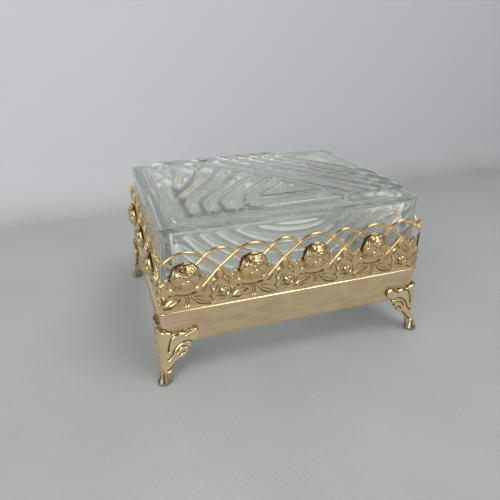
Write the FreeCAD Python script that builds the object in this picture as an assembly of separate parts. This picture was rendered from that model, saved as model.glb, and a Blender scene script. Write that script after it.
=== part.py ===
import FreeCAD
import Part
import math
import os
from FreeCAD import Vector

# Jewelry box: a pressed-glass box with a loose lid, standing in a gilt metal frame.
# The frame is a band with a ledge inside, on four corner feet, with a pierced rose gallery round its rim.
# Millimetres, +Z up, origin on the table under the middle of the box, front towards -Y.

# Pan: the band and its ledge
frame_width = 128.0
frame_depth = 102.0
pan_underside = 18.4
pan_wall = 0.8
pan_corner_radius = 2.6
pan_edge_radius = 1.8
rim_height = 34.8
rim_radius = 0.8
rim_proud = 0.7
rim_roundness = 0.96
ledge_width = 9.0
ledge_corner_radius = 4.0

# Gallery strip, cut into four lengths and mitred at the corners
strip_thickness = 0.9
strip_tuck = 5.0
tuck_clearance = 0.1
sheet_height = 12.8
strap_foot = 8.4
rose_pitch = 30.0
arch_height = 27.4
rose_arch_radius = 11.8
rose_arch_spread = 39.0
bud_arch_radius = 8.5
bud_arch_spread = 43.0
strap_lean = 47.0
strap_bend_radius = 8.0
wire_radius = 0.55
bud_wire_radius = 0.5
wire_inset = 0.12
wire_weave = 0.25
wire_slant = 0.7
wire_overrun = 6.0
wire_seat_share = 0.8
rose_centre_height = 17.4
rose_seat_radius = 5.8
seat_margin = 0.4
neck_width = 10.0
gusset_drop = 0.3
bud_length = 5.2
bud_radius = 1.7
bud_inset = 0.4
bud_tuck = 0.3
leaf_length = 9.0
leaf_width = 4.2
leaf_rise = 1.3
leaf_droop = 34.0
leaf_height = 6.4
leaf_from_rose = 6.0
sepal_length = 5.4
sepal_width = 2.6
sepal_rise = 0.9
sepal_lean = 60.0
sepal_height = 14.6
under_bud_lean = 60.0
leaf_root = 0.5
curl_radius = 1.9
curl_sweep = 280.0
curl_height = 8.6
slit_length = 2.6
slit_width = 0.8
slit_lean = 55.0
slit_places = [(-6.9, 9.7), (-1.8, 9.4), (5.6, 6.3)]

# Distance of the first rose from the frame corner where each length of strip starts
first_rose_front = 12.0
first_rose_right = 26.0
first_rose_back = 16.0
first_rose_left = 24.0

# Roses
rose_radius = 6.2
rose_tilt = 0.4
rose_cup_depth = 0.10
rose_pip_share = 0.06
rose_corner_margin = 2.0

# Feet
foot_height = 27.5
wing_span = 15.6
wing_bulge = 1.5
leg_lean = 0.7
ankle_height = 8.0
ankle_width = 2.6
toe_spread = 2.9
toe_radius = 3.1
toe_flat = 1.0
toe_out = 1.2
foot_wall = 2.0
shelf_reach = 10.0
shelf_thickness = 1.8
groove_radius = 0.6
groove_depth = 0.42
rivet_radius = 1.0
rivet_clearance = 0.03
rivet_depth = 1.6
rivet_along = 7.0
rivet_above = 3.8
rivet_head_radius = 1.8
rivet_head_height = 0.7

# Glass
glass_inset = 2.8
glass_corner_radius = 2.0
glass_foot_chamfer = 1.2
box_height = 51.4
glass_wall = 5.0
glass_floor = 6.0
pocket_corner_radius = 6.0
pocket_draft = 1.2
lid_thickness = 3.2
ridge_drop = 2.4
ridge_width = 3.0
ridge_clearance = 0.6
rib_pitch = 8.6
rib_groove_radius = 1.7
rib_groove_depth = 0.8
rib_margin = 7.0
rib_corner_radius = 1.6
rib_corner_growth = 1.2
rib_rings = 7
lid_triangle_base = 33.6
lid_triangle_height = 19.2
lid_triangle_shift = 4.6
lid_triangle_front = 27.0

# Overrun of cutting shapes past the work
spare = 40.0

# Worked out from the sizes above
half_width = frame_width / 2
half_depth = frame_depth / 2
pan_floor = pan_underside + pan_wall
half_pitch = rose_pitch / 2
arch_top = rim_height + arch_height
rose_arch_centre = arch_top - rose_arch_radius
bud_arch_centre = arch_top - bud_arch_radius
leg_run = half_pitch - rose_arch_radius * math.sin(math.radians(rose_arch_spread))
leg_start = rose_arch_centre + rose_arch_radius * math.cos(math.radians(rose_arch_spread))
bud_top = leg_start - leg_run * math.tan(math.radians(rose_arch_spread))
sheet_top = rim_height + sheet_height
rose_centre = rim_height + rose_centre_height
glass_width = frame_width - 2 * glass_inset
glass_depth = frame_depth - 2 * glass_inset
leg_low = (toe_radius - toe_flat) / 2
box_top = pan_floor + box_height
lid_top = box_top + lid_thickness

ALONG = Vector(1, 0, 0)
INWARD = Vector(0, 1, 0)
UP = Vector(0, 0, 1)


def prism(points, direction):
    """Straight prism over a closed polygon."""
    outline = Part.makePolygon(points + [points[0]])
    return Part.Face(outline).extrude(direction)


def joined(shapes):
    """One solid from touching shapes, added in turn."""
    whole = shapes[0]
    for shape in shapes[1:]:
        whole = whole.fuse(shape)
    return whole


def rounded_block(width, depth, low, high, radius):
    """Block centred on the Z axis, with rounded upright edges."""
    block = Part.makeBox(width, depth, high - low, Vector(-width / 2, -depth / 2, low))
    upright = [edge for edge in block.Edges if abs(edge.tangentAt(edge.FirstParameter).z) > 0.5]
    return block.makeFillet(radius, upright)


def edges_at(shape, height):
    """Edges that lie level at a height."""
    return [e for e in shape.Edges if max(abs(e.BoundBox.ZMin - height), abs(e.BoundBox.ZMax - height)) < 1e-4]


def rivet_places():
    """Each rivet as its point on the band's outer face and the direction into the pan."""
    level = pan_underside + rivet_above
    places = []
    for side_x in (-1, 1):
        for side_y in (-1, 1):
            on_long = Vector(side_x * (half_width - rivet_along), side_y * half_depth, level)
            on_short = Vector(side_x * half_width, side_y * (half_depth - rivet_along), level)
            places.append((on_long, Vector(0, -side_y, 0)))
            places.append((on_short, Vector(-side_x, 0, 0)))
    return places


def rivet_hole(point, inward):
    """Hole for one rivet, through the band and blind into the wing of the foot."""
    depth = rivet_depth + rivet_clearance
    start = point - inward * depth
    return Part.makeCylinder(rivet_radius + rivet_clearance, depth + 2 * pan_wall, start, inward)


def make_pan():
    """Band with rounded edges, a half-round rim standing proud of it and a ledge inside for the glass box."""
    body = rounded_block(frame_width, frame_depth, pan_underside, rim_height, pan_corner_radius)
    body = body.makeFillet(pan_edge_radius, edges_at(body, pan_underside))
    rim_low = rim_height - rim_radius
    rim_high = rim_height + rim_radius
    rim = rounded_block(
        frame_width + 2 * rim_proud,
        frame_depth + 2 * rim_proud,
        rim_low,
        rim_high,
        pan_corner_radius + rim_proud,
    )
    rim = rim.makeFillet(rim_roundness * rim_radius, edges_at(rim, rim_low) + edges_at(rim, rim_high))
    hollow = rounded_block(
        frame_width - 2 * pan_wall,
        frame_depth - 2 * pan_wall,
        pan_floor,
        rim_high + pan_wall,
        pan_corner_radius - pan_wall,
    )
    hollow = hollow.makeFillet(pan_edge_radius - pan_wall, edges_at(hollow, pan_floor))
    window = rounded_block(
        frame_width - 2 * ledge_width,
        frame_depth - 2 * ledge_width,
        pan_underside - pan_wall,
        pan_floor + pan_wall,
        ledge_corner_radius,
    )
    pan = body.fuse(rim).cut(hollow).cut(window)
    holes = [rivet_hole(point, inward) for point, inward in rivet_places()]
    return pan.cut(Part.makeCompound(holes)).removeSplitter()


def wire_along(path, radius):
    """Round wire along a smooth path."""
    first = path[0]
    heading = first.tangentAt(first.FirstParameter)
    disc = Part.Wire(Part.makeCircle(radius, first.valueAt(first.FirstParameter), heading))
    return Part.Wire(path).makePipeShell([disc], True, True)


def arc_between(centre, radius, start, end):
    """Arc in the strip's plane, between two angles in degrees from the top towards +X."""
    points = []
    for turn in (start, (start + end) / 2, end):
        angle = math.radians(turn)
        points.append(centre + Vector(radius * math.sin(angle), 0, radius * math.cos(angle)))
    return Part.Arc(*points).toShape()


def leaf(length, width, rise, centre, tilt):
    """Pointed leaf with a sharp midrib: where two spheres meet, cut level behind the sheet's face."""
    rib_circle = (length ** 2 / 4 + rise ** 2) / (2 * rise)
    offset = (length ** 2 - width ** 2) / (4 * width)
    ball = math.hypot(rib_circle, offset)
    depth = rib_circle - rise
    upper = Part.makeSphere(ball, Vector(0, depth, offset))
    lower = Part.makeSphere(ball, Vector(0, depth, -offset))
    slab = Part.makeBox(spare, spare, spare, Vector(-spare / 2, leaf_root - spare, -spare / 2))
    blade = upper.common(lower).common(slab)
    blade.rotate(Vector(), INWARD, -tilt)
    blade.translate(centre)
    return blade


def make_bud():
    """Closed bud, a spindle hanging under the wires' crossing."""
    half = bud_length / 2
    arc = Part.Arc(Vector(0, 0, -half), Vector(bud_radius, 0, 0), Vector(0, 0, half)).toShape()
    axis = Part.makeLine(Vector(0, 0, half), Vector(0, 0, -half))
    bud = Part.Face(Part.Wire([arc, axis])).revolve(Vector(), UP, 360)
    bud.translate(Vector(0, bud_inset, bud_top + bud_tuck - half))
    return bud


def make_slit(x, z, tilt):
    """Pierced slit with round ends."""
    half = (slit_length - slit_width) / 2
    depth = 3 * strip_thickness
    slit = Part.makeBox(2 * half, depth, slit_width, Vector(-half, -strip_thickness, -slit_width / 2))
    for end in (-half, half):
        slit = slit.fuse(Part.makeCylinder(slit_width / 2, depth, Vector(end, -strip_thickness, 0), INWARD))
    slit.rotate(Vector(), INWARD, -tilt)
    slit.translate(Vector(x, strip_thickness / 2, z))
    return slit


def tile_sheet():
    """Flat sheet of one repeat: the plain foot, half a rose seat at each end and the gusset under the bud."""
    foot = rim_height - strip_tuck
    strap_run = (bud_top - sheet_top) / math.tan(math.radians(strap_lean))
    gusset = [
        Vector(0, 0, bud_top - gusset_drop),
        Vector(-strap_run, 0, sheet_top - gusset_drop),
        Vector(strap_run, 0, sheet_top - gusset_drop),
    ]
    pieces = [
        Part.makeBox(rose_pitch, strip_thickness, sheet_top - foot, Vector(-half_pitch, 0, foot)),
        prism(gusset, INWARD * strip_thickness),
    ]
    for rose_x in (-half_pitch, half_pitch):
        neck_corner = Vector(rose_x - neck_width / 2, 0, rim_height)
        pieces.append(Part.makeBox(neck_width, strip_thickness, rose_centre_height, neck_corner))
        pieces.append(Part.makeCylinder(rose_seat_radius, strip_thickness, Vector(rose_x, 0, rose_centre), INWARD))
    return pieces


def tile_wires():
    """Interlaced wires of one repeat: half the arch over each rose with its strap, and the arch over the bud."""
    steep = math.radians(strap_lean)
    gentle = math.radians(rose_arch_spread)
    wires = []
    for side in (-1, 1):
        centre = Vector(side * half_pitch, wire_inset, rose_arch_centre)
        arch = arc_between(centre, rose_arch_radius, side * wire_overrun, -side * rose_arch_spread)
        crossing = Vector(0, wire_inset, bud_top)
        leg = Part.makeLine(arch.valueAt(arch.LastParameter), crossing)
        below = crossing + Vector(side * math.sin(gentle), 0, -math.cos(gentle)) * strap_bend_radius
        bend = arc_between(below, strap_bend_radius, -side * rose_arch_spread, -side * strap_lean)
        strap_start = bend.valueAt(bend.LastParameter)
        strap_length = (strap_start.z - rim_height - strap_foot) / math.sin(steep)
        strap_end = strap_start + Vector(-side * math.cos(steep), 0, -math.sin(steep)) * strap_length
        wire = wire_along([arch, leg, bend, Part.makeLine(strap_start, strap_end)], wire_radius)
        wire.rotate(centre, UP, wire_slant)
        wires.append(wire)
    spread = math.radians(bud_arch_spread)
    crown = Vector(0, wire_inset + wire_weave, bud_arch_centre)
    arch = arc_between(crown, bud_arch_radius, -bud_arch_spread, bud_arch_spread)
    legs = []
    for side in (-1, 1):
        shoulder = crown + Vector(side * math.sin(spread), 0, math.cos(spread)) * bud_arch_radius
        rose = Vector(side * half_pitch, shoulder.y, rose_centre)
        reach = (shoulder - rose).Length - wire_seat_share * rose_seat_radius
        legs.append((shoulder, shoulder + Vector(side * math.cos(spread), 0, -math.sin(spread)) * reach))
    path = [Part.makeLine(legs[0][1], legs[0][0]), arch, Part.makeLine(legs[1][0], legs[1][1])]
    wires.append(wire_along(path, bud_wire_radius))
    return wires


def tile_leaves():
    """Embossed leaves of one repeat: one and a sepal beside each rose, and two with a curl under the bud."""
    curl = Vector(0, wire_inset, rim_height + curl_height)
    leaves = [wire_along([arc_between(curl, curl_radius, -curl_sweep / 2, curl_sweep / 2)], wire_radius)]
    for side in (-1, 1):
        rose_x = side * half_pitch
        drooping = Vector(rose_x - side * leaf_from_rose, 0, rim_height + leaf_height)
        leaves.append(leaf(leaf_length, leaf_width, leaf_rise, drooping, side * leaf_droop))
        at_rose = Vector(rose_x - side * rose_radius, 0, rim_height + sepal_height)
        leaves.append(leaf(sepal_length, sepal_width, sepal_rise, at_rose, -side * sepal_lean))
        under_bud = Vector(side * sepal_length / 2, 0, sheet_top)
        leaves.append(leaf(sepal_length, sepal_width, sepal_rise, under_bud, side * under_bud_lean))
    return leaves


def make_tile():
    """One repeat of the strip, from rose to rose with its bud in the middle, its front face on the plane Y = 0."""
    tile = joined(tile_sheet() + tile_wires() + [make_bud()] + tile_leaves())
    below = rim_height - strip_tuck
    bounds = Part.makeBox(rose_pitch, spare + strip_thickness, 2 * arch_height, Vector(-half_pitch, -spare, below))
    tile = tile.common(bounds)
    for side in (-1, 1):
        in_front = Vector(side * half_pitch, -spare, rose_centre)
        tile = tile.cut(Part.makeCylinder(rose_radius + seat_margin, spare, in_front, INWARD))
    for x, height in slit_places:
        tile = tile.cut(make_slit(x, rim_height + height, slit_lean))
    return tile.removeSplitter()


def rose_places(length, first_rose):
    """Distances along a length of strip at which a rose stands clear of both corners."""
    clear = rose_radius + rose_corner_margin
    count = int((length - clear - first_rose) // rose_pitch) + 1
    return [first_rose + k * rose_pitch for k in range(count)]


def make_strip(tile, length, first_rose):
    """A length of strip along +X from the frame corner: mitred, with its tongue notched clear of the pan's corners
    and loose wire offcuts dropped."""
    bud = first_rose - half_pitch - rose_pitch * math.ceil(first_rose / rose_pitch)
    tiles = []
    while bud - half_pitch < length:
        copy = tile.copy()
        copy.translate(Vector(bud, 0, 0))
        tiles.append(copy)
        bud += rose_pitch
    strip = joined(tiles)
    reach = half_pitch
    low = rim_height - strip_tuck
    blank = [
        Vector(pan_wall - reach, -reach, low),
        Vector(length - pan_wall + reach, -reach, low),
        Vector(length - pan_wall - reach, reach, low),
        Vector(pan_wall + reach, reach, low),
    ]
    strip = strip.common(prism(blank, UP * (2 * arch_height)))
    tongue_top = strip_tuck + rim_radius + tuck_clearance
    for corner in (0, length):
        notch_start = Vector(corner - pan_corner_radius, -reach, low)
        strip = strip.cut(Part.makeBox(2 * pan_corner_radius, 2 * reach, tongue_top, notch_start))
    strip = strip.removeSplitter()
    return max(strip.Solids, key=lambda solid: solid.Volume)


def make_rose():
    """Rose head: cupped outer petals, and two rolled inner petals round a heart that looks out and up."""
    unit = rose_radius
    facing = Vector(0, -1, rose_tilt).normalize()
    petals = [
        (1.22, Vector(0.00, 0.74, 0.00)),
        (0.62, Vector(-0.37, 0.19, -0.26)),
        (0.60, Vector(0.40, 0.18, -0.29)),
        (0.61, Vector(0.03, 0.16, 0.35)),
    ]
    cups = [(0.40, 0.29, 0.42), (0.21, 0.12, 0.50)]
    head = joined([Part.makeSphere(share * unit, place * unit) for share, place in petals])
    heart = Vector(0.04, -0.06, 0.05) * unit
    for outer, inner, height in cups:
        head = head.fuse(Part.makeCylinder(outer * unit, height * unit, heart, facing))
        floor = heart + facing * (height - rose_cup_depth) * unit
        head = head.cut(Part.makeCylinder(inner * unit, unit, floor, facing))
    head = head.fuse(Part.makeCylinder(rose_pip_share * unit, cups[1][2] * unit, heart, facing))
    front = Part.makeBox(spare, spare, spare, Vector(-spare / 2, -spare, -spare / 2))
    return head.common(front)


def make_roses(rose, length, first_rose):
    """The rose heads of one length of strip."""
    heads = []
    for place in rose_places(length, first_rose):
        head = rose.copy()
        head.translate(Vector(place, 0, rose_centre))
        heads.append(head)
    return Part.makeCompound(heads)


def stand_round(shape, length, reach, turn):
    """Carry a shape from strip coordinates to one side of the frame."""
    placed = shape.copy()
    placed.translate(Vector(-length / 2, pan_wall - reach, 0))
    placed.rotate(Vector(), UP, turn)
    return placed


def wing_face(height):
    """How far a wing's outer face stands out from the band at a height above the table."""
    ankle_face = wing_bulge + leg_lean
    if height >= ankle_height:
        part = (height - ankle_height) / (foot_height - ankle_height)
        return ankle_face - leg_lean * part
    part = height / ankle_height
    return ankle_face + (toe_spread - ankle_face) * (1 - part) ** 2


def wing_outline():
    """Outline of one wing on the face of the band, from the toe up the scalloped edge and back along the top."""
    scallops = [
        ((0.23, 0.24), (0.45, 0.40)),
        ((0.56, 0.430), (0.61, 0.51)),
        ((0.68, 0.55), (0.66, 0.605)),
        ((0.78, 0.65), (0.77, 0.72)),
        ((1.00, 0.85), (0.92, 0.985)),
        ((0.77, 0.945), (0.61, 0.945)),
        ((0.50, 0.995), (0.36, 0.96)),
        ((0.20, 1.00), (0.04, 0.985)),
    ]
    beyond_corner = -2 * toe_spread
    corner_foot = Vector(beyond_corner, 0, leg_low)
    at = Vector(ankle_width, 0, leg_low)
    path = [Part.makeLine(corner_foot, at)]
    for through, end in scallops:
        middle = Vector(through[0] * wing_span, 0, through[1] * foot_height)
        finish = Vector(end[0] * wing_span, 0, end[1] * foot_height)
        path.append(Part.Arc(at, middle, finish).toShape())
        at = finish
    corner_top = Vector(beyond_corner, 0, at.z)
    path.append(Part.makeLine(at, corner_top))
    path.append(Part.makeLine(corner_top, corner_foot))
    return Part.Face(Part.Wire(path))


def wing_section():
    """Side profile of a wing: a curved outer face, and a back that lies on the band and follows the face below."""
    steps = 10
    face = [Vector(0, -wing_face(foot_height * k / steps), foot_height * k / steps) for k in range(steps + 1)]
    outer = Part.BSplineCurve()
    outer.interpolate(face)
    band_foot = pan_underside - shelf_thickness
    levels = [band_foot * k / steps for k in range(steps + 1)]
    back = [Vector(0, foot_wall - wing_face(level), level) for level in levels]
    inner = Part.BSplineCurve()
    inner.interpolate(back)
    path = [
        outer.toShape(),
        Part.makeLine(face[-1], Vector(0, 0, foot_height)),
        Part.makeLine(Vector(0, 0, foot_height), Vector(0, 0, band_foot)),
        Part.makeLine(Vector(0, 0, band_foot), back[-1]),
        inner.toShape(),
        Part.makeLine(back[0], face[0]),
    ]
    return Part.Face(Part.Wire(path))


def wing_groove(points):
    """Round-bottomed groove through three points given as shares of the wing's span and height."""
    lift = groove_radius - groove_depth
    line = []
    for share_x, share_z in points:
        height = share_z * foot_height
        line.append(Vector(share_x * wing_span, -wing_face(height) - lift, height))
    arc = Part.Arc(*line).toShape()
    heading = arc.tangentAt(arc.FirstParameter)
    disc = Part.Wire(Part.makeCircle(groove_radius, line[0], heading))
    return Part.Wire(arc).makePipeShell([disc], True, True)


def make_wing():
    """One wing of a foot along +X, with its back on the plane Y = 0 and its end mitred at the corner."""
    plate = wing_outline().extrude(INWARD * spare)
    plate.translate(INWARD * -spare / 2)
    profile = wing_section().extrude(ALONG * (wing_span + 2 * spare))
    profile.translate(ALONG * -spare)
    mitre = [Vector(-spare, -spare, 0), Vector(spare, -spare, 0), Vector(spare, spare, 0)]
    wing = plate.common(profile).common(prism(mitre, UP * foot_height))
    flutes = [
        [(0.08, 0.56), (0.14, 0.80), (0.36, 0.90)],
        [(0.10, 0.45), (0.32, 0.68), (0.72, 0.70)],
        [(0.20, 0.45), (0.36, 0.595), (0.60, 0.63)],
        [(0.20, 0.40), (0.34, 0.475), (0.51, 0.51)],
        [(0.13, 0.24), (0.22, 0.32), (0.37, 0.38)],
    ]
    for flute in flutes:
        wing = wing.cut(wing_groove(flute))
    return wing


def make_foot():
    """Corner foot at the origin: two wings, a shelf inside that carries the pan, and a ball toe with a flat sole."""
    wing = make_wing()
    other = wing.mirror(Vector(), Vector(1, -1, 0))
    shelf_low = pan_underside - shelf_thickness
    shelf = prism(
        [Vector(0, 0, shelf_low), Vector(shelf_reach, 0, shelf_low), Vector(0, shelf_reach, shelf_low)],
        UP * shelf_thickness,
    )
    ball = Part.makeSphere(toe_radius, Vector(-toe_out, -toe_out, toe_radius - toe_flat))
    toe = ball.cut(Part.makeBox(spare, spare, spare, Vector(-spare / 2, -spare / 2, -spare)))
    return joined([wing, other, shelf, toe]).removeSplitter()


def place_foot(foot, side_x, side_y):
    """Carry the foot from the front left corner pattern to a corner of the frame and bore its rivet holes."""
    placed = foot.copy()
    if side_x > 0:
        placed = placed.mirror(Vector(), ALONG)
    if side_y > 0:
        placed = placed.mirror(Vector(), INWARD)
    placed.translate(Vector(side_x * half_width, side_y * half_depth, 0))
    holes = [rivet_hole(point, inward) for point, inward in rivet_places()]
    return placed.cut(Part.makeCompound(holes))


def make_rivets():
    """Rivets from inside the pan into the feet, with low domed heads."""
    rivets = []
    dome = (rivet_head_radius ** 2 + rivet_head_height ** 2) / (2 * rivet_head_height)
    for point, inward in rivet_places():
        shank = Part.makeCylinder(rivet_radius, rivet_depth + pan_wall, point - inward * rivet_depth, inward)
        seat = point + inward * pan_wall
        ball = Part.makeSphere(dome, seat - inward * (dome - rivet_head_height))
        head = ball.common(Part.makeCylinder(2 * rivet_head_radius, 2 * rivet_head_height, seat, inward))
        rivets.append(shank.fuse(head).removeSplitter())
    return Part.makeCompound(rivets)


def level_ring(width, depth, radius, height):
    """Closed rounded rectangle at a height, for lofts."""
    block = rounded_block(width, depth, height, height + 1, radius)
    return Part.Wire(Part.__sortEdges__(edges_at(block, height)))


def make_glass_box():
    """Pressed-glass box with a drafted pocket."""
    body = rounded_block(glass_width, glass_depth, pan_floor, box_top, glass_corner_radius)
    body = body.makeChamfer(glass_foot_chamfer, edges_at(body, pan_floor))
    mouth_width = glass_width - 2 * glass_wall
    mouth_depth = glass_depth - 2 * glass_wall
    pocket_low = pan_floor + glass_floor
    floor_width = mouth_width - 2 * pocket_draft
    floor_depth = mouth_depth - 2 * pocket_draft
    bottom = level_ring(floor_width, floor_depth, pocket_corner_radius, pocket_low)
    top = level_ring(mouth_width, mouth_depth, pocket_corner_radius, box_top)
    pocket = Part.makeLoft([bottom, top], True, True)
    return body.cut(pocket)


def rib_ring(ring):
    """Centre line of one groove of the lid: a triangle with rounded corners, one of a nested set."""
    base = -glass_depth / 2 + lid_triangle_front
    half_base = lid_triangle_base / 2
    slope = math.atan2(lid_triangle_height, half_base)
    inner = lid_triangle_height * half_base / (half_base + math.hypot(half_base, lid_triangle_height))
    grow = 1 + ring * rib_pitch / inner
    bend = rib_corner_radius + ring * rib_corner_growth
    centre = Vector(lid_triangle_shift, base + inner, lid_top)
    corners = [
        Vector(-half_base, -inner, 0),
        Vector(half_base, -inner, 0),
        Vector(0, lid_triangle_height - inner, 0),
    ]
    corners = [centre + corner * grow for corner in corners]
    turns = [slope, slope, math.pi - 2 * slope]
    path = []
    ends = []
    for k in range(3):
        at = corners[k]
        back = (corners[k - 1] - at).normalize()
        ahead = (corners[(k + 1) % 3] - at).normalize()
        trim = bend / math.tan(turns[k] / 2)
        middle = (back + ahead).normalize()
        near = bend / math.sin(turns[k] / 2) - bend
        ends.append((at + back * trim, at + middle * near, at + ahead * trim))
    for k in range(3):
        path.append(Part.Arc(*ends[k]).toShape())
        path.append(Part.makeLine(ends[k][2], ends[(k + 1) % 3][0]))
    return Part.Wire(path)


def make_lid():
    """Lid plate with nested triangular ribs pressed in its top and a locating ridge below."""
    plate = rounded_block(glass_width, glass_depth, box_top, lid_top, glass_corner_radius)
    ridge_out_width = glass_width - 2 * (glass_wall + ridge_clearance)
    ridge_out_depth = glass_depth - 2 * (glass_wall + ridge_clearance)
    ridge_low = box_top - ridge_drop
    ridge = rounded_block(ridge_out_width, ridge_out_depth, ridge_low, box_top, pocket_corner_radius)
    well = rounded_block(
        ridge_out_width - 2 * ridge_width,
        ridge_out_depth - 2 * ridge_width,
        ridge_low - ridge_drop,
        box_top,
        pocket_corner_radius - ridge_width,
    )
    lid = plate.fuse(ridge.cut(well))
    field = rounded_block(
        glass_width - 2 * rib_margin,
        glass_depth - 2 * rib_margin,
        box_top,
        lid_top + 2 * rib_groove_radius,
        glass_corner_radius,
    )
    lift = UP * (rib_groove_radius - rib_groove_depth)
    for ring in range(rib_rings):
        path = rib_ring(ring)
        path.translate(lift)
        start = path.Edges[0]
        heading = start.tangentAt(start.FirstParameter)
        disc = Part.Wire(Part.makeCircle(rib_groove_radius, start.valueAt(start.FirstParameter), heading))
        groove = path.makePipeShell([disc], True, True)
        lid = lid.cut(groove.common(field))
    return lid


def make_all():
    """Every piece by its node name."""
    pieces = {"base_pan": make_pan(), "foot_rivets": make_rivets()}
    tile = make_tile()
    rose = make_rose()
    sides = [
        ("front", frame_width, half_depth, 0, first_rose_front),
        ("right", frame_depth, half_width, 90, first_rose_right),
        ("back", frame_width, half_depth, 180, first_rose_back),
        ("left", frame_depth, half_width, 270, first_rose_left),
    ]
    for name, length, reach, turn, first_rose in sides:
        strip = make_strip(tile, length, first_rose)
        pieces["gallery_" + name] = stand_round(strip, length, reach, turn)
        heads = make_roses(rose, length, first_rose)
        pieces["roses_" + name] = stand_round(heads, length, reach, turn)
    foot = make_foot()
    for row, side_y in (("front", -1), ("back", 1)):
        for column, side_x in (("left", -1), ("right", 1)):
            pieces["foot_" + row + "_" + column] = place_foot(foot, side_x, side_y)
    pieces["glass_box"] = make_glass_box()
    pieces["glass_lid"] = make_lid()
    return pieces


os.makedirs("parts", exist_ok=True)
for node, shape in make_all().items():
    shape.exportStep("parts/" + node + ".step")
    print(node, len(shape.Solids), shape.isValid(), round(shape.Volume, 1))
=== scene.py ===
import math

import bpy
import numpy as np
from mathutils import Matrix, Vector


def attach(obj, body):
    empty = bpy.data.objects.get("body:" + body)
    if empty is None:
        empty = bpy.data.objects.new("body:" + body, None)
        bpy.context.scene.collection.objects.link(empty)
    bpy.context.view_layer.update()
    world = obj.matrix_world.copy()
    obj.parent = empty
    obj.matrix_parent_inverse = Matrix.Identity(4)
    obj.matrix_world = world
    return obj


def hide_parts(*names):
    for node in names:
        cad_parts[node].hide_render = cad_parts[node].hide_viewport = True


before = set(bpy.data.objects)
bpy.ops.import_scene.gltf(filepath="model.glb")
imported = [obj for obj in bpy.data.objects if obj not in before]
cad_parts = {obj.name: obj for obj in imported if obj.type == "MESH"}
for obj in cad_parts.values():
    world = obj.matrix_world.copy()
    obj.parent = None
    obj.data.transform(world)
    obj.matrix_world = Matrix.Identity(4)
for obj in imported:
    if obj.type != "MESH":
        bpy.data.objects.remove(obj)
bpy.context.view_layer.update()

# Looks of a footed jewelry box: a pressed-glass box with a loose lid in a gilt frame with a rose gallery.
# Sizes are in millimetres and become metres when a mesh is made.
MM = 0.001

# Frame
frame_width = 128.0
frame_depth = 102.0
band_wall = 0.8
band_skin = (0.45 * band_wall, 0.75 * band_wall)
rim_height = 34.8
rim_bead = (1.1, 0.7)

# Gallery strip; its heights are measured from a level just above the rim
gallery_level = 36.0
strip_thickness = 0.9
strip_press = 0.7
strip_grid = 0.2
strip_foot = -1.0
strip_top = 22.6
foot_flare = 0.95
sheet_height = 11.6
sheet_swell = 0.4
scallop_rise = 0.2
scallop_length = 5.0
rose_pitch = 30.0
rose_centre = 16.2
rose_seat = 5.8
seat_blend = 0.6
shoulder_half = 7.4
shoulder_top = 15.1
gusset_drop = 0.3
gusset_blend = 0.4
first_rose = {"front": 12.0, "right": 26.0, "back": 16.0, "left": 24.0}

# Ornament of the gallery
ear_rise = 0.55
ear_blend = 0.5
ring_centre = (2.0, 5.2)
ring_radii = (2.0, 1.8)
ring_width = 0.5
ring_rise = 0.85
calyx_width = 1.3
calyx_rise = 0.8
vase_low = 12.4
vase_height = 5.0
vase_rise = 1.4
vein_width = 0.24
vein_depth = 0.30
slit_rim = 0.22

# Wires and beads of the gallery
arch_height = 26.2
rose_arch_radius = 11.8
rose_arch_spread = 39.0
bud_arch_radius = 8.5
bud_arch_spread = 43.0
strap_lean = 47.0
strap_bend = 8.0
strap_foot = 6.6
leg_reach = 7.4
wire_radius = 0.70
wire_behind = 0.1
bud_wire_behind = 0.3
wire_sides = 12
bead_radius = 0.78
bead_proud = 0.05

# Roses; a petal's lip and the dark gap beside it are placed as shares of its size
rose_radius = 6.2
rose_brim = 0.4
rose_depth = 3.3
rose_grid = 0.14
rose_sunk = 0.35
rose_corner_clear = 8.2
crown_slope = 0.75
crown_start = 1.4
core_centre = (0.2, -0.6)
core_radius = 4.6
petal_lip = 0.90
petal_lip_width = 0.14
petal_gap = 1.05
petal_edge = 0.07

# Feet
foot_height = 27.5
wing_span = 15.6
wing_bulge = 1.5
wing_fold = -9.0
wing_bead = 0.7
wing_round = 0.4
leg_lean = 0.7
ankle_height = 8.0
ankle_width = 2.6
toe_spread = 2.9
leg_low = 1.0
foot_thickness = 1.5
foot_corner = 2.2
foot_grid = 0.2
flute_depth = 0.50
flute_width = 0.26
flute_lip = 0.8
toe_height = 6.0
toe_out = 1.2
toe_channel = 0.75

# Glass box
glass_width = 122.4
glass_depth = 96.4
box_low = 19.2
box_top = 70.6
glass_corner = 2.0
glass_wall = 5.0
glass_floor = 6.0
glass_chamfer = 1.2
glass_lip = 0.3
glass_spacing = 0.5
glass_crease = 38.0
wall_levels = 120
pocket_corner = 6.0
pocket_draft = 1.2
pocket_round = 2.5
pocket_levels = 16
swag_centre = 45.0
swag_lens = 48.5
swag_pitch = 4.8
swag_depth = 0.60
swag_margin = 7.5
swag_rim = 0.8
swag_foot = 1.5
lens_depth = 0.8
lens_fade = 4.0

# Lid
lid_thickness = 3.2
lid_seat_gap = 0.12
lid_grid = 0.32
lid_edge_round = 0.9
lid_edge_drop = 0.5
ridge_drop = 2.4
ridge_width = 3.0
ridge_ease = 1.2
ridge_clearance = 0.6

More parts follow.
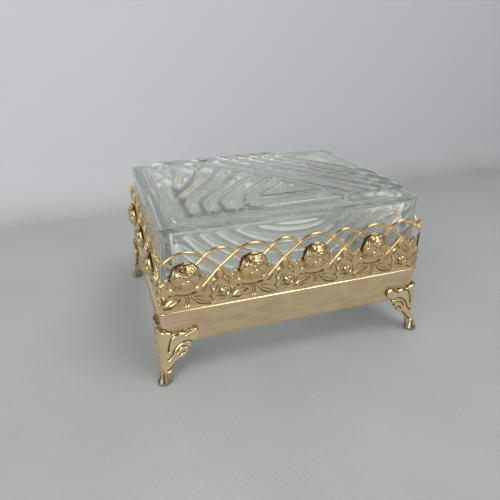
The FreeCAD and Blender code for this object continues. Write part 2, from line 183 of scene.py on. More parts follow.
# Ribs of the lid about a clear triangle; edges are the places across them where one meets the next
rib_height = 1.5
rib_tip_round = 2.6
apex_x = 8.2
apex_y = -4.3
triangle_front = -22.7
rib_steps = 200
rib_steep = -1.373
rib_slack = -0.55
rib_turn_start = -38.0
rib_turn_length = 46.0
right_squeeze = 0.59
right_tip = -36.5
right_border = 5.0
right_edges = [5.0, 12.5, 20.5, 27.5, 34.5, 41.5, 48.5]
front_edges = [0.0, 4.5, 14.0]
front_starts = [-13.0, -19.0, -27.0]
finger_heading = (-0.70, 0.715)
finger_bend = -24.0
finger_bend_round = 3.5
finger_fan = 0.010
finger_fan_middle = -10.0
finger_tip = -39.0
finger_left = -50.0
finger_edges = [-10.6, -3.5, 5.5, 12.2, 18.8, 24.5, 31.0]

# Values of the hollow attribute: above 0 is the painted shade of a hollow; below 0 marks the wires (painted
# reflection) and the inside (painted light)
wire_painted_reflection_mark = -0.5
inside_painted_light_mark = -2.0

# Tones, in pairs where a finish drifts between two
band_gold = ((0.76, 0.575, 0.35, 1), (0.93, 0.73, 0.46, 1))
gallery_gold = ((0.76, 0.56, 0.29, 1), (0.90, 0.69, 0.39, 1))
foot_gold = ((0.95, 0.74, 0.42, 1), (1.0, 0.82, 0.50, 1))
wire_painted_reflection_gold = (0.97, 0.71, 0.36, 1)
bead_painted_highlight_gold = (0.97, 0.80, 0.50, 1)
hollow_painted_shade = (0.10, 0.055, 0.018, 1)
speck_brown = (0.42, 0.30, 0.15, 1)
tarnish_brown = (0.20, 0.19, 0.11, 1)
band_inside_painted_light = (0.80, 0.80, 0.78, 1)
gallery_inside_painted_light = (0.93, 0.93, 0.91, 1)
box_clear = ((0.91, 0.925, 0.91, 1), (0.87, 0.885, 0.87, 1))
lid_green = ((0.93, 0.955, 0.92, 1), (0.89, 0.925, 0.88, 1))
cloth_floor = ((0.415, 0.42, 0.415, 1), (0.445, 0.45, 0.445, 1))
cloth_wall_painted_light = (0.645, 0.655, 0.68, 1)
cloth_painted_glow_through_glass = ((0.97, 0.98, 0.98, 1), (0.38, 0.39, 0.40, 1))
room_sides = ((0.60, 0.61, 0.63, 1), (0.44, 0.45, 0.46, 1))
dark_ceiling_and_painted_shade = (0.05, 0.05, 0.05, 1)

# Camera, stage and light; each lamp has its place, aim and size in metres and its power in watts
camera_place = (-80.65, -220.62, 147.69)
camera_yaw = 0.324
camera_pitch = 0.4578
camera_roll = -0.0048
camera_focal = 470.22
image_side = 500
sensor = 36.0
stage_reach = 1600.0
wall_behind = 190.0
wall_height = 230.0
wall_bend = 30.0
cloth_painted_shade_from = -50.0
cloth_painted_shade_to = 420.0
glow_fade_under_box = (11.0, -9.0)
weave_scale = 260.0
lamps = {
    "overhead": ((0.36, -0.36, 0.95), (0, 0, 0.03), 0.55, 3.7),
    "window": ((-0.60, -0.62, 0.40), (0, 0, 0.03), 0.6, 3.4),
    "far_window": ((0.55, 0.35, 0.6), (0, 0, 0.05), 0.35, 0.7),
}

# Worked out from the sizes above
half_pitch = rose_pitch / 2
rose_spread = math.radians(rose_arch_spread)
bud_spread = math.radians(bud_arch_spread)
rose_arch_centre = arch_height - rose_arch_radius
bud_arch_centre = arch_height - bud_arch_radius
rose_leg = (
    rose_arch_radius * math.sin(rose_spread),
    rose_arch_centre + rose_arch_radius * math.cos(rose_spread),
)
bud_leg = (
    half_pitch - bud_arch_radius * math.sin(bud_spread),
    bud_arch_centre + bud_arch_radius * math.cos(bud_spread),
)
bud_crossing = rose_leg[1] - (half_pitch - rose_leg[0]) * math.tan(rose_spread)
lid_top = box_top + lid_thickness

# Curves and distances on a flat sheet

def smooth_curve(points, per_span=12):
    """Points along a smooth curve that passes through the given ones."""
    given = np.array(points, float)
    padded = np.vstack([2 * given[0] - given[1], given, 2 * given[-1] - given[-2]])
    out = []
    for k in range(len(given) - 1):
        p0, p1, p2, p3 = padded[k:k + 4]
        for t in np.arange(per_span) / per_span:
            bend = 2 * p0 - 5 * p1 + 4 * p2 - p3
            twist = 3 * p1 - p0 - 3 * p2 + p3
            out.append(p1 + 0.5 * t * ((p2 - p0) + t * (bend + t * twist)))
    out.append(given[-1])
    return np.array(out)

def arc_through(start, middle, end, steps=12):
    """Points along the circle from start through middle to end, without the start."""
    a, b, c = [complex(*p) for p in (start, middle, end)]
    w = (c - a) / (b - a)
    centre = (b - a) * (w - abs(w) ** 2) / (2j * w.imag) + a
    turn = np.angle((c - centre) / (a - centre))
    half = np.angle((b - centre) / (a - centre))
    if half * turn < 0 or abs(half) > abs(turn):
        turn -= math.copysign(2 * math.pi, turn)
    spun = centre + (a - centre) * np.exp(1j * turn * np.arange(1, steps + 1) / steps)
    return [(p.real, p.imag) for p in spun]

def line_distance(u, v, points):
    """Distance from every sheet point to a line of points."""
    best = np.full(u.shape, 1e9)
    for (ax, ay), (bx, by) in zip(points[:-1], points[1:]):
        dx = bx - ax
        dy = by - ay
        t = np.clip(((u - ax) * dx + (v - ay) * dy) / max(dx * dx + dy * dy, 1e-12), 0, 1)
        best = np.minimum(best, np.hypot(u - ax - t * dx, v - ay - t * dy))
    return best

def outline_distance(u, v, points):
    """Signed distance to a closed outline, negative inside."""
    closed = np.vstack([points, points[:1]])
    inside = np.zeros(u.shape, bool)
    for (ax, ay), (bx, by) in zip(closed[:-1], closed[1:]):
        crosses = (ay > v) != (by > v)
        if crosses.any():
            at = ax + (v - ay) * (bx - ax) / (by - ay if by != ay else 1e-12)
            inside ^= crosses & (u < at)
    gap = line_distance(u, v, closed)
    return np.where(inside, -gap, gap)

def rounded_distance(u, v, width, depth, radius):
    """Signed distance to a rounded rectangle about the middle, negative inside."""
    over_u = np.abs(u) - width / 2 + radius
    over_v = np.abs(v) - depth / 2 + radius
    outside = np.hypot(np.maximum(over_u, 0), np.maximum(over_v, 0))
    return outside + np.minimum(np.maximum(over_u, over_v), 0) - radius

def tilted(u, v, centre, tilt):
    """Distances along and across a line through centre at a tilt in degrees."""
    turn = math.radians(tilt)
    du = u - centre[0]
    dv = v - centre[1]
    return du * math.cos(turn) + dv * math.sin(turn), dv * math.cos(turn) - du * math.sin(turn)

def eased(x, length):
    """Smooth step from 0 to 1 while x grows from 0 to a length."""
    t = np.clip(x / length, 0, 1)
    return t * t * (3 - 2 * t)

def bell(gap, width):
    """Soft mark that is 1 on a line and fades over a width."""
    return np.exp(-(gap / width) ** 2)

def blended_min(a, b, reach):
    """Smaller of two distances with a rounded joint."""
    share = np.clip(0.5 + 0.5 * (b - a) / reach, 0, 1)
    return b + (a - b) * share - reach * share * (1 - share)

def half_round(gap, width, height):
    """Half-round ridge over a distance field."""
    return height * np.sqrt(np.clip(1 - (gap / width) ** 2, 0, 1))

def blurred(field, reach):
    """Local mean of a field over a square window."""
    out = field
    for axis in (0, 1):
        padding = [(0, 0), (0, 0)]
        padding[axis] = (reach + 1, reach)
        sums = np.cumsum(np.pad(out, padding, mode="edge"), axis=axis)
        size = 2 * reach + 1
        high = np.take(sums, np.arange(size, sums.shape[axis]), axis=axis)
        low = np.take(sums, np.arange(0, sums.shape[axis] - size), axis=axis)
        out = (high - low) / size
    return out

def sunk_shade(relief, reach, depth):
    """Shade from 0 to 1 where a relief lies lower than what is round it, full at a depth."""
    return np.clip((blurred(relief, reach) - relief) / depth, 0, 1)

# Meshes

def add_object(name, data):
    """New object of the scene."""
    made = bpy.data.objects.new(name, data)
    bpy.context.scene.collection.objects.link(made)
    return made

def smooth_mesh(name, points, faces, finish):
    """New smooth mesh with a finish, from points in millimetres."""
    mesh = bpy.data.meshes.new(name)
    mesh.from_pydata((np.asarray(points) * MM).tolist(), [], faces)
    mesh.validate()
    mesh.polygons.foreach_set("use_smooth", [True] * len(mesh.polygons))
    mesh.materials.append(finish)
    return mesh

def make_piece(name, shape, finish, body, replaced, hollow=None, crease=None):
    """A piece that rides on a body, sharp along edges that turn by more than crease degrees."""
    mesh = smooth_mesh(name, *shape, finish)
    if crease is not None:
        mesh.set_sharp_from_angle(angle=math.radians(crease))
    if hollow is not None:
        shade = mesh.attributes.new("hollow", "FLOAT", "POINT")
        shade.data.foreach_set("value", np.asarray(hollow, np.float32))
    piece = add_object(name, mesh)
    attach(piece, body)
    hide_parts(replaced)

def trimmed_sheet(u, v, edge, front, back, place):
    """Closed sheet over the part of a grid where edge is negative, cut along its zero line.

    front and back are the two heights of the sheet, and place turns (u, v, height) into a point."""
    step = abs(u[1, 0] - u[0, 0])
    slope_u, slope_v = np.gradient(edge, step)
    steep = np.maximum(slope_u ** 2 + slope_v ** 2, 0.25)
    near = np.abs(edge) < 0.62 * step
    u = np.where(near, u - edge * slope_u / steep, u)
    v = np.where(near, v - edge * slope_v / steep, v)
    kept = near | (edge < 0)
    number = np.arange(u.size).reshape(u.shape)
    corners = np.stack([number[:-1, :-1], number[1:, :-1], number[1:, 1:], number[:-1, 1:]], -1)
    corners = corners.reshape(-1, 4)
    inside = kept.ravel()[corners]
    faces = [list(row) for row in corners[inside.all(1)]]
    three = inside.sum(1) == 3
    for row, good in zip(corners[three], inside[three]):
        faces.append([int(c) for c, g in zip(row, good) if g])
    used = np.unique(np.concatenate([np.asarray(f) for f in faces]))
    renumber = np.full(u.size, -1)
    renumber[used] = np.arange(len(used))
    faces = [[int(renumber[c]) for c in f] for f in faces]
    flat_u = u.ravel()[used]
    flat_v = v.ravel()[used]
    points = np.vstack([place(flat_u, flat_v, h.ravel()[used]) for h in (front, back)])
    count = len(used)
    sides = dict.fromkeys((a, b) for f in faces for a, b in zip(f, f[1:] + f[:1]))
    walls = [[b, a, a + count, b + count] for a, b in sides if (b, a) not in sides]
    whole = faces + [[c + count for c in reversed(f)] for f in faces] + walls
    return points, whole, used

def stacked_rings(rings):
    """Faces between closed rings of equal counts, with the first and last ring capped."""
    count = len(rings[0])
    faces = []
    for k in range(len(rings) - 1):
        for s in range(count):
            nxt = (s + 1) % count
            faces.append([k * count + s, k * count + nxt, (k + 1) * count + nxt, (k + 1) * count + s])
    faces.append(list(range(count))[::-1])
    faces.append([(len(rings) - 1) * count + s for s in range(count)])
    return np.vstack(rings), faces

def swept_tube(path, radius, sides):
    """Round tube with closed ends along a line of points."""
    heading = np.gradient(path, axis=0)
    heading /= np.linalg.norm(heading, axis=1)[:, None]
    across = np.cross(heading, (0.0, 1.0, 0.0))
    across /= np.maximum(np.linalg.norm(across, axis=1)[:, None], 1e-9)
    other = np.cross(heading, across)
    turns = (np.arange(sides) * 2 * math.pi / sides)[:, None]
    rings = []
    for k in range(len(path)):
        rings.append(path[k] + radius * (np.cos(turns) * across[k] + np.sin(turns) * other[k]))
    return stacked_rings(rings)

def ball(centre, radius, rings=8, spokes=12):
    """Small round bead."""
    points = [(0, 0, -1)]
    for polar in np.arange(1, rings) * math.pi / rings:
        for turn in np.arange(spokes) * 2 * math.pi / spokes:
            flat = math.sin(polar)
            points.append((flat * math.cos(turn), flat * math.sin(turn), -math.cos(polar)))
    points.append((0, 0, 1))
    faces = []
    last = len(points) - 1
    for s in range(spokes):
        nxt = (s + 1) % spokes
        faces.append([0, 1 + nxt, 1 + s])
        for r in range(rings - 2):
            low = 1 + r * spokes
            faces.append([low + s, low + nxt, low + spokes + nxt, low + spokes + s])
        top = 1 + (rings - 2) * spokes
        faces.append([top + s, top + nxt, last])
    return np.array(points) * radius + np.array(centre), faces

def gathered(parts):
    """One set of points and faces from several."""
    points = []
    faces = []
    for more_points, more_faces in parts:
        start = sum(len(p) for p in points)
        points.append(np.asarray(more_points))
        faces += [[c + start for c in f] for f in more_faces]
    return np.vstack(points), faces

# Finishes

class Flow:
    """A socket on its way through a finish; arithmetic on it adds Math nodes."""

    def __init__(self, finish, socket):
        self.finish = finish
        self.socket = socket

    def maths(self, operation, first, second):
        return self.finish.node("Math", {"operation": operation}, {0: first, 1: second})

    def __add__(self, other):
        return self.maths("ADD", self, other)

    def __sub__(self, other):
        return self.maths("SUBTRACT", self, other)

    def __rsub__(self, other):
        return self.maths("SUBTRACT", other, self)

    def __mul__(self, other):
        return self.maths("MULTIPLY", self, other)

    __radd__ = __add__
    __rmul__ = __mul__

class Finish:
    """A material or world built from nodes."""

    def __init__(self, owner):
        self.owner = owner
        owner.use_nodes = True
        self.tree = owner.node_tree
        self.tree.nodes.clear()

    def node(self, kind, settings=None, sockets=None, output=0):
        made = self.tree.nodes.new("ShaderNode" + kind)
        for key, value in (settings or {}).items():
            setattr(made, key, value)
        for key, value in (sockets or {}).items():
            if isinstance(value, Flow):
                self.tree.links.new(value.socket, made.inputs[key])
            else:
                made.inputs[key].default_value = value
        return made if output is None else Flow(self, made.outputs[output])

    def coords(self, scale=(1, 1, 1)):
        place = self.node("TexCoord", output="Object")
        return self.node("Mapping", {}, {"Vector": place, "Scale": scale})

    def along(self, axis, vector=None):
        return self.node("SeparateXYZ", {}, {0: vector or self.coords()}, axis)

    def noise(self, scale, detail, stretch=(1, 1, 1)):
        sockets = {"Vector": self.coords(stretch), "Scale": scale, "Detail": detail}
        return self.node("TexNoise", {}, sockets, "Fac")

    def mixed(self, share, low, high):
        settings = {"data_type": "RGBA"}
        return self.node("Mix", settings, {"Factor": share, 6: low, 7: high}, 2)

    def clamped(self, value, low, high):
        sockets = {"Value": value, "From Min": low, "From Max": high}
        return self.node("MapRange", {"clamp": True}, sockets)

    def over_frame(self, begins, full):
        """1 over the frame, fading to 0 round it between two reaches outwards from its sides."""
        spread = self.node("VectorMath", {"operation": "ABSOLUTE"}, {0: self.coords()})
        shares = []
        for axis, half in (("X", frame_width / 2), ("Y", frame_depth / 2)):
            shares.append(self.clamped(self.along(axis, spread), (half + begins) * MM, (half + full) * MM))
        return shares[0] * shares[1]

    def light_path(self, ray):
        return self.node("LightPath", {}, {}, ray)

    def either(self, share, first, second):
        return self.node("MixShader", {}, {0: share, 1: first, 2: second})

    def surface(self, sockets, bump, strength, reach):
        settings = {"Strength": strength, "Distance": reach, "Height": bump}
        sockets = dict(sockets, Normal=self.node("Bump", {}, settings))
        return self.node("BsdfPrincipled", {}, sockets)

    def done(self, shader, kind="OutputMaterial"):
        self.node(kind, {}, {"Surface": shader}, None)
        return self.owner

def new_finish(name):
    return Finish(bpy.data.materials.new(name))

def gilt_satin():
    """Brushed gilt of the band, with a few specks, a paler bead as a painted highlight and a pale inside as
    painted light.
    """
    finish = new_finish("gilt_satin_band")
    streaks = finish.noise(scale=150, detail=5.0, stretch=(0.6, 0.6, 8))
    cloud = finish.noise(scale=170, detail=5.0, stretch=(0.6, 0.6, 1.4))
    specks = finish.clamped(finish.noise(scale=900, detail=2.0), 0.66, 0.74)
    tone = finish.clamped(streaks * 0.4 + cloud * 0.6, 0.36, 0.64)
    gold = finish.mixed(tone, *band_gold)
    gold = finish.mixed(specks * 0.25, gold, speck_brown)
    # Painted highlight: the rolled bead is painted a paler gold
    bead = finish.clamped(finish.along("Z"), *[(rim_height - drop) * MM for drop in rim_bead])
    gold = finish.mixed(bead * 0.6, gold, bead_painted_highlight_gold)
    # Painted light: the inside of the band is painted pale so that it looks bright through the glass
    inside = finish.over_frame(*[-depth for depth in band_skin])
    gold = finish.mixed(inside * (1 - bead), gold, band_inside_painted_light)
    rough = (0.24 + 0.16 * streaks + 0.10 * specks) * (1 - 0.6 * bead)
    sockets = {"Base Color": gold, "Metallic": 1.0, "Roughness": rough}
    return finish.done(finish.surface(sockets, bump=streaks, strength=0.05, reach=0.0002))

def gilt_bright(name, tones, polish, tarnish=0.0):
    """Polished gilt with a richer gold on wires as a painted reflection, painted shade in hollows, a pale
    inside as painted light, and tarnish low down.
    """
    finish = new_finish(name)
    hollow = finish.node("Attribute", {"attribute_name": "hollow"}, {}, "Fac")
    cloud = finish.noise(scale=240, detail=4.0)
    fine = finish.noise(scale=2600, detail=2.0)
    gold = finish.mixed(finish.clamped(cloud, 0.35, 0.65), *tones)
    # Painted reflection: wires and beads get a richer gold for the light bounced between them and the sheet
    gold = finish.mixed(finish.clamped(hollow, 0.0, wire_painted_reflection_mark), gold, wire_painted_reflection_gold)
    # Painted light: the back of the strip is painted pale so that it looks bright through the glass
    inside = finish.clamped(hollow, 0.6 * inside_painted_light_mark, 0.9 * inside_painted_light_mark)
    gold = finish.mixed(inside, gold, gallery_inside_painted_light)
    # Painted shade: hollows, slit rims, veins, flutes and gaps between petals turn dark brown
    depth = finish.clamped(hollow + 0.2 * (cloud - 0.5), 0.1, 0.8)
    gold = finish.mixed(depth, gold, hollow_painted_shade)
    rough = polish + 0.10 * cloud + 0.25 * depth + 0.20 * inside
    if tarnish:
        low = 1 - finish.clamped(finish.along("Z") + 0.004 * (cloud - 0.5), 0.001, 0.007)
        gold = finish.mixed(low * tarnish, gold, tarnish_brown)
        rough = rough + 0.2 * low
    sockets = {"Base Color": gold, "Metallic": 1.0, "Roughness": rough}
    return finish.done(finish.surface(sockets, bump=fine, strength=0.03, reach=0.0001))

def pressed_glass(name, tones, haze, share):
    """Pressed glass, a little milky, with a faint ripple and haze."""
    finish = new_finish(name)
    ripple = finish.noise(scale=160, detail=2.0)
    cloud = finish.noise(scale=900, detail=3.0)
    drift = finish.noise(scale=45, detail=3.0)
    sockets = {
        "Base Color": finish.mixed(finish.clamped(drift, 0.35, 0.65), *tones),
        "Roughness": haze * (0.5 + cloud),
        "IOR": 1.5,
        "Transmission Weight": share,
    }
    glass = finish.surface(sockets, bump=ripple, strength=0.06, reach=0.0006)
    open_way = finish.node("BsdfTransparent", {}, {"Color": tones[0]})
    return finish.done(finish.either(finish.light_path("Is Shadow Ray"), glass, open_way))

# Gallery; an ornament is placed by its height and its distance from the nearest rose or the nearest bud

# Ears beside a rose: distance from its middle, height and radius
ears = [(7.7, 14.4, 1.1), (8.8, 12.6, 1.2)]

# Slits: middle, length, width and tilt in degrees
slits = [
    ("bud", (-1.7, 8.0), 2.4, 0.70, 57),
    ("bud", (-0.7, 5.6), 1.9, 0.62, 57),
    ("bud", (-3.1, 10.2), 2.1, 0.62, 55),
    ("bud", (5.5, 5.0), 3.0, 0.80, 55),
    ("bud", (6.3, 2.1), 2.2, 0.70, 30),
    ("bud", (3.5, 9.6), 1.7, 0.55, -50),
    ("rose", (8.1, 8.5), 3.0, 0.70, 60),
    ("rose", (3.0, 7.7), 1.9, 0.50, 4),
    ("rose", (-6.9, 7.3), 1.5, 0.50, 6),
    ("rose", (-3.4, 4.5), 1.6, 0.50, 2),
]

# Leaves: middle, length, width, tilt in degrees and rise
leaves = [
    ("rose", (6.3, 3.2), 9.6, 4.2, -27, 1.15),
    ("rose", (-6.1, 3.7), 8.8, 3.9, 27, 1.05),
    ("rose", (-10.0, 6.6), 5.0, 2.2, 42, 0.8),
    ("rose", (10.3, 6.2), 4.6, 2.0, -40, 0.8),
    ("rose", (-12.6, 2.3), 4.4, 2.0, -30, 0.7),
    ("bud", (1.7, 6.5), 3.2, 1.7, 24, 1.6),
    ("bud", (-2.7, 11.6), 4.2, 1.8, 52, 0.9),
    ("bud", (3.0, 11.2), 4.2, 1.8, -52, 0.9),
    ("bud", (-3.0, 6.6), 4.4, 1.9, 58, 0.9),
    ("bud", (3.6, 7.4), 3.8, 1.7, -48, 0.9),
    ("bud", (-0.7, 2.2), 4.4, 1.9, 14, 0.8),
    ("bud", (3.0, 1.6), 3.8, 1.6, -14, 0.7),
    ("rose", (5.6, 8.8), 4.2, 1.9, 16, 1.1),
    ("rose", (-5.4, 8.9), 4.2, 1.9, -18, 0.9),
]

# Veins: points of each sunk line
veins = [
    ("rose", [(-1.1, 6.0), (-0.2, 4.4), (-0.3, 2.4), (-1.1, 0.8)]),
    ("rose", [(0.1, 6.2), (0.9, 4.4), (0.8, 2.3), (0.0, 0.7)]),
    ("rose", [(1.9, 5.2), (4.2, 2.4), (7.2, 1.0), (10.6, 0.9)]),
    ("rose", [(-2.2, 5.6), (-4.6, 2.8), (-7.4, 1.4), (-10.2, 1.4)]),
    ("rose", [(-6.4, 8.4), (-3.6, 6.8), (0.0, 6.5), (3.6, 6.7), (6.6, 7.4)]),
    ("rose", [(9.6, 4.2), (11.0, 3.0), (11.6, 1.2)]),
    ("bud", [(0.6, 8.6), (-0.2, 6.6), (0.2, 4.2), (1.4, 2.9)]),
    ("bud", [(4.3, 7.2), (4.6, 5.2), (3.6, 3.4)]),
    ("bud", [(-4.8, 9.0), (-3.8, 6.2), (-4.4, 3.6)]),
    ("bud", [(-2.0, 3.6), (0.2, 3.5), (2.2, 2.6)]),
]

# Calyx under a rose: points of its middle line
calyx = [(-5.8, 9.6), (-4.2, 8.5), (0.0, 8.0), (4.2, 8.4), (5.8, 9.4)]

# Vase of a bud: share of its height and half width
vase = [(0, 0.9), (0.15, 1.4), (0.42, 1.75), (0.75, 1.2), (1.0, 0.7)]

def leaf_relief(a, b, centre, length, width, tilt, rise):
    """Pointed leaf with a sunk midrib, as a height over the sheet."""
    along, across = tilted(a, b, centre, tilt)
    share = np.clip(1 - (2 * along / length) ** 2, 0, 1)
    half = np.maximum(width / 2 * share ** 0.85, 1e-6)
    body = np.clip(1 - (across / half) ** 2, 0, 1) ** 0.6
    midrib = 0.45 * bell(across, 0.22)
    return rise * share ** 0.3 * body * (1 - midrib) * (share > 0)

def slit_distance(a, b, centre, length, width, tilt):
    """Distance to a pierced slit with round ends."""
    turn = math.radians(tilt)
    reach = (length - width) / 2
    tip = np.array([math.cos(turn), math.sin(turn)]) * reach
    middle = np.array(centre)
    return line_distance(a, b, [middle - tip, middle + tip]) - width / 2

def strip_outline(at, v):
    """Distance to the edge of the sheet before it is pierced."""
    side = np.abs(at["rose"])
    lean = math.radians(strap_lean)
    edge = v - sheet_height - scallop_rise * np.sin(2 * math.pi * at["bud"] / scallop_length)
    edge = blended_min(edge, np.hypot(at["rose"], v - rose_centre) - rose_seat, seat_blend)
    edge = blended_min(edge, np.maximum(side - shoulder_half, v - shoulder_top), seat_blend)
    gusset = (np.abs(at["bud"]) - (bud_crossing - gusset_drop - v) / math.tan(lean)) * math.sin(lean)
    edge = blended_min(edge, np.maximum(gusset, v - bud_crossing), gusset_blend)
    for ear_along, ear_height, ear_size in ears:
        edge = blended_min(edge, np.hypot(side - ear_along, v - ear_height) - ear_size, ear_blend)
    return edge

def strip_relief(at, v):
    """Height of the ornament over a swelling sheet that flares at its foot."""
    side = np.abs(at["rose"])
    raised = [leaf_relief(at[near], v, *leaf) for near, *leaf in leaves]
    for ear_along, ear_height, ear_size in ears:
        raised.append(half_round(np.hypot(side - ear_along, v - ear_height), ear_size, ear_rise))
    ring_u = (at["bud"] - ring_centre[0]) / ring_radii[0]
    ring_v = (v - ring_centre[1]) / ring_radii[1]
    ring = np.abs(np.hypot(ring_u, ring_v) - 1) * sum(ring_radii) / 2
    raised.append(half_round(ring, ring_width, ring_rise))
    raised.append(half_round(line_distance(at["rose"], v, smooth_curve(calyx)), calyx_width, calyx_rise))
    girth = np.interp((v - vase_low) / vase_height, *zip(*vase))
    raised.append(half_round(at["bud"], girth, vase_rise) * (v > vase_low) * (v < bud_crossing + 0.2))
    swell = sheet_swell * eased(v + 0.4, 3.0) * eased(sheet_height - v, 2.5)
    raised.append(swell)
    relief = np.maximum.reduce(raised) + 0.2 * swell
    return np.maximum(relief, foot_flare * (1 - eased(v + 0.2, 3.2)))

def gallery_field(u, v, start):
    """Outline distance, relief and painted shade round the slits and along the veins of the strip."""
    at = {
        "rose": (u - start + half_pitch) % rose_pitch - half_pitch,
        "bud": (u - start) % rose_pitch - half_pitch,
    }
    pierced = np.minimum.reduce([slit_distance(at[near], v, *slit) for near, *slit in slits])
    edge = np.maximum(strip_outline(at, v), -pierced)
    relief = strip_relief(at, v)
    dark = 0.9 * bell(np.maximum(pierced, 0), slit_rim)
    for near, points in veins:
        line = bell(line_distance(at[near], v, smooth_curve(points, 6)), vein_width)
        relief -= vein_depth * line
        dark = np.maximum(dark, 0.8 * line)
    return edge, relief, dark

def strip_place(side):
    """Length of one side's strip and the function that puts its points in place."""
    turn = list(first_rose).index(side)
    length, across = ((frame_width, frame_depth), (frame_depth, frame_width))[turn % 2]
    cos, sin = ((1, 0), (0, 1), (-1, 0), (0, -1))[turn]

    def place(u, v, out):
        x = u - length / 2
        y = band_wall - across / 2 - out
        return np.stack([cos * x - sin * y, sin * x + cos * y, v + gallery_level], -1)

    return length, place

def rose_wire():
    """Right half of the wire over a rose: its arch, leg, bend and strap."""
    steep = math.radians(strap_lean)
    arch = np.linspace(0, rose_spread, 20)
    leg = np.array([0.25, 0.5, 0.75])
    bend = np.linspace(rose_spread, steep, 6)
    bend_u = half_pitch + strap_bend * (np.sin(bend) - math.sin(rose_spread))
    bend_v = bud_crossing + strap_bend * (np.cos(bend) - math.cos(rose_spread))
    fall = np.linspace(0.1, 1, 8) * (bend_v[-1] - strap_foot) / math.sin(steep)
    along = np.concatenate([
        rose_arch_radius * np.sin(arch),
        rose_leg[0] + (half_pitch - rose_leg[0]) * leg,
        bend_u,
        bend_u[-1] + fall * math.cos(steep),
    ])
    height = np.concatenate([
        rose_arch_centre + rose_arch_radius * np.cos(arch),
        rose_leg[1] + (bud_crossing - rose_leg[1]) * leg,
        bend_v,
        bend_v[-1] - fall * math.sin(steep),
    ])
    return along, height

def bud_wire():
    """Right half of the wire over a bud: its arch and leg."""
    arch = np.linspace(0, bud_spread, 16)
    leg = np.linspace(0.1, 1, 8) * leg_reach
    along = np.r_[bud_arch_radius * np.sin(arch), half_pitch - bud_leg[0] + leg * math.cos(bud_spread)]
    height = np.r_[bud_arch_centre + bud_arch_radius * np.cos(arch), bud_leg[1] - leg * math.sin(bud_spread)]
    return along, height

def wire_meeting():
    """Distance from a rose, and height, at which its wire's leg crosses the leg of a bud's wire."""
    fall_rose = math.tan(rose_spread)
    fall_bud = math.tan(bud_spread)
    gap = rose_leg[1] + rose_leg[0] * fall_rose - bud_leg[1] + bud_leg[0] * fall_bud
    along = gap / (fall_rose + fall_bud)
    return along, rose_leg[1] - (along - rose_leg[0]) * fall_rose

def gallery_wires(length, start):
    """Interlaced wires and the beads at their crossings, as strip points."""
    wires = [(0.0, rose_wire(), wire_behind), (half_pitch, bud_wire(), bud_wire_behind)]
    meet, meet_v = wire_meeting()
    lines = []
    beads = []
    for k in range(int(math.floor(-start / rose_pitch)) - 1, int(length // rose_pitch) + 2):
        rose = start + k * rose_pitch
        for shift, (along, height), behind in wires:
            middle = rose + shift
            line_u = np.r_[middle - along[::-1], middle + along[1:]]
            lines.append((line_u, np.r_[height[::-1], height[1:]], behind))
        beads += [(rose + half_pitch, bud_crossing), (rose - meet, meet_v), (rose + meet, meet_v)]
    return lines, beads

def on_strip(place, points, faces):
    """A shape made along the strip, outwards and up, carried to its side of the frame."""
    return place(points[:, 0], points[:, 2], points[:, 1]), faces

def make_gallery(side, finish):
    """Pierced strip of one side with its leaves, buds, wires and beads."""
    length, place = strip_place(side)
    start = first_rose[side]
    low = band_wall
    high = length - band_wall
    columns = int(round((high - low) / strip_grid))
    rows = int(round((strip_top - strip_foot) / strip_grid))
    heights = strip_foot + strip_grid * np.arange(rows + 1)
    u, v = np.meshgrid(np.linspace(low, high, columns + 1), heights, indexing="ij")
    edge, relief, dark = gallery_field(u, v, start)
    # Painted shade of the slits, veins and sunk places, kept in the hollow attribute
    sunk = np.maximum(dark, sunk_shade(relief, 4, 0.4))
    points, faces, used = trimmed_sheet(u, v, edge, relief, strip_press * relief - strip_thickness, place)
    # The back of the sheet is marked for the pale inside, which is painted light
    shade = np.r_[sunk.ravel()[used], np.full(len(used), inside_painted_light_mark)]
    parts = [(points, faces)]
    lines, beads = gallery_wires(length, start)
    for line_u, line_v, behind in lines:
        inside = (line_u > low) & (line_u < high)
        if inside.sum() < 3:
            continue
        first, last = np.flatnonzero(inside)[[0, -1]]
        kept = slice(first, last + 1)
        path = np.stack([line_u[kept], 0 * line_u[kept] - behind, line_v[kept]], -1)
        parts.append(on_strip(place, *swept_tube(path, wire_radius, wire_sides)))
    for bead_u, bead_v in beads:
        if low + bead_radius < bead_u < high - bead_radius:
            parts.append(on_strip(place, *ball((bead_u, bead_proud, bead_v), bead_radius)))
    shape = gathered(parts)
    shade = np.r_[shade, np.full(len(shape[0]) - len(shade), wire_painted_reflection_mark)]
    make_piece("gallery_strip_" + side, shape, finish, "stand", "gallery_" + side, shade)

# Roses

# Petals from back to front: middle, half width, half height, tilt, lift, bulge, lip and shade of the gap
petals = [
    (-4.0, 0.6, 2.2, 4.4, -16, 0.05, 0.45, 0.45, 0.9),
    (4.3, 0.6, 2.1, 4.3, 15, 0.05, 0.45, 0.45, 0.9),
    (0.5, 4.0, 3.4, 1.7, 0, 0.10, 0.30, 0.40, 0.9),
    (-2.9, 2.1, 1.7, 3.2, -16, 0.35, 0.50, 0.45, 1.0),
    (3.5, 2.3, 1.5, 2.9, 18, 0.35, 0.50, 0.45, 1.0),
    (-1.9, 3.3, 1.2, 1.9, -24, 0.55, 0.45, 0.40, 1.0),
    (2.5, 3.3, 1.1, 1.8, 22, 0.55, 0.45, 0.40, 1.0),
    (0.5, 3.6, 2.0, 1.3, 0, 0.65, 0.40, 0.40, 0.9),
    (0.6, 2.5, 2.5, 1.1, 0, 0.95, 0.45, 0.40, 0.9),
    (0.7, 0.7, 3.0, 2.0, 0, 0.45, 0.35, 0.35, 0.7),
    (0.9, 1.0, 1.5, 0.9, 10, 0.65, 0.20, 0.30, 0.5),
    (-3.3, -2.4, 3.0, 3.5, -20, 0.35, 0.45, 0.30, 0.6),
    (3.5, -2.3, 2.9, 3.5, 20, 0.40, 0.45, 0.30, 0.6),
    (0.1, -3.3, 2.8, 2.5, 0, 0.75, 0.40, 0.32, 0.6),
]

